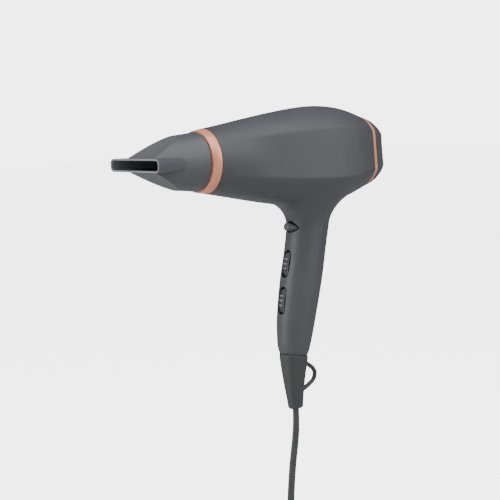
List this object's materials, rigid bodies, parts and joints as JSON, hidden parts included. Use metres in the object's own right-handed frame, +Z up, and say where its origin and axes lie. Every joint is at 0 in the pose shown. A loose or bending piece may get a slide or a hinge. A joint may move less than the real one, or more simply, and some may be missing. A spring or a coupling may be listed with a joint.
{
  "type": "hair dryer",
  "caption": "Pistol-shaped hair dryer with a slot nozzle that turns, a pull-off intake cover, rocker switches, a cool-shot button, a hanging loop, and its folded lead with a safety plug.",
  "frame": {"origin": "middle of the hand grip, on the plane where the two housing shells meet", "axes": "-X is the way the air blows, +Z is up along the handle to the barrel, +Y is across, and y = 0 is the middle plane"},
  "size_m": [0.2667, 0.082, 0.5602],
  "materials": {
    "soft_touch_grey": "soft-touch satin, cool dark grey",
    "rose_gold": "satin rose-gold metallised trim",
    "dark_rubber": "matt, fine moulded texture",
    "black_plastic": "fine textured black",
    "heat_proof_plastic": "matt, glass filled",
    "mica": "mica sheet, faintly mottled",
    "resistance_wire": "bright drawn resistance wire",
    "steel": "zinc plated",
    "zinc_can": "plated motor can",
    "blade_metal": "nickel plated brass",
    "board_green": "solder mask over glass fibre",
    "white_plastic": "moulded white",
    "red_plastic": "moulded red",
    "lint_mesh": "woven fine screen in a rim"
  },
  "bodies": {
    "housing": {"housing_left": "soft_touch_grey", "housing_right": "soft_touch_grey", "front_ring": "rose_gold", "rear_ring": "rose_gold", "outlet_grille": "heat_proof_plastic", "fan_duct": "heat_proof_plastic", "speed_switch_body": "heat_proof_plastic", "heat_switch_body": "heat_proof_plastic", "cord_clamp": "heat_proof_plastic", "mica_sleeve": "mica", "heater_frame": "mica", "heater_coil": "resistance_wire", "thermostat": "black_plastic", "ion_module": "black_plastic", "cool_shot_switch": "black_plastic", "hank_tie": "black_plastic", "plug_body": "black_plastic", "thermal_fuse": "white_plastic", "motor_can": "zinc_can", "ion_emitter": "steel", "speed_rocker_pin": "steel", "heat_rocker_pin": "steel", "cool_shot_spring": "steel", "housing_screw_upper": "steel", "housing_screw_middle": "steel", "housing_screw_lower": "steel", "clamp_screw_a": "steel", "clamp_screw_b": "steel", "wiring_board": "board_green", "strain_relief": "dark_rubber", "power_cord": "dark_rubber", "power_cord_hank": "dark_rubber", "plug_lead": "dark_rubber", "plug_sleeve": "dark_rubber", "plug_blade_left": "blade_metal", "plug_blade_right": "blade_metal"},
    "nozzle": {"concentrator_nozzle": "soft_touch_grey"},
    "intake_cover": {"rear_cover": "soft_touch_grey", "filter_screen": "lint_mesh"},
    "fan": {"fan_impeller": "black_plastic", "motor_shaft": "steel"},
    "speed_switch": {"speed_rocker": "black_plastic"},
    "heat_switch": {"heat_rocker": "black_plastic"},
    "cool_shot": {"cool_shot_button": "soft_touch_grey"},
    "plug_test": {"plug_test_button": "white_plastic"},
    "plug_reset": {"plug_reset_button": "red_plastic"}
  },
  "joints": [
    {"name": "nozzle_turn", "type": "hinge", "parent": "housing", "child": "nozzle", "pos_m": [-0.106, 0, 0.118], "axis": [1, 0, 0], "continuous": true},
    {"name": "intake_cover_slide", "type": "slide", "parent": "housing", "child": "intake_cover", "axis": [1, 0, 0], "range_m": [0, 0.02]},
    {"name": "fan_spin", "type": "hinge", "parent": "housing", "child": "fan", "pos_m": [0.0285, 0, 0.118], "axis": [1, 0, 0], "continuous": true},
    {"name": "speed_rocker_tilt", "type": "hinge", "parent": "housing", "child": "speed_switch", "pos_m": [-0.01113, 0, 0.01622], "axis": [0, 1, 0], "range_deg": [-7, 7]},
    {"name": "heat_rocker_tilt", "type": "hinge", "parent": "housing", "child": "heat_switch", "pos_m": [-0.01748, 0, -0.0176], "axis": [0, 1, 0], "range_deg": [-7, 7]},
    {"name": "cool_shot_press", "type": "slide", "parent": "housing", "child": "cool_shot", "axis": [0.9781, 0, -0.2079], "range_m": [0, 0.0025], "stiffness_N_per_m": 500, "springref_m": -0.0015, "deforming": ["cool_shot_spring"]},
    {"name": "plug_test_press", "type": "slide", "parent": "housing", "child": "plug_test", "axis": [-1, 0, 0], "range_m": [0, 0.001], "stiffness_N_per_m": 600, "springref_m": -0.001},
    {"name": "plug_reset_press", "type": "slide", "parent": "housing", "child": "plug_reset", "axis": [-1, 0, 0], "range_m": [0, 0.001], "stiffness_N_per_m": 600, "springref_m": -0.001}
  ]
}
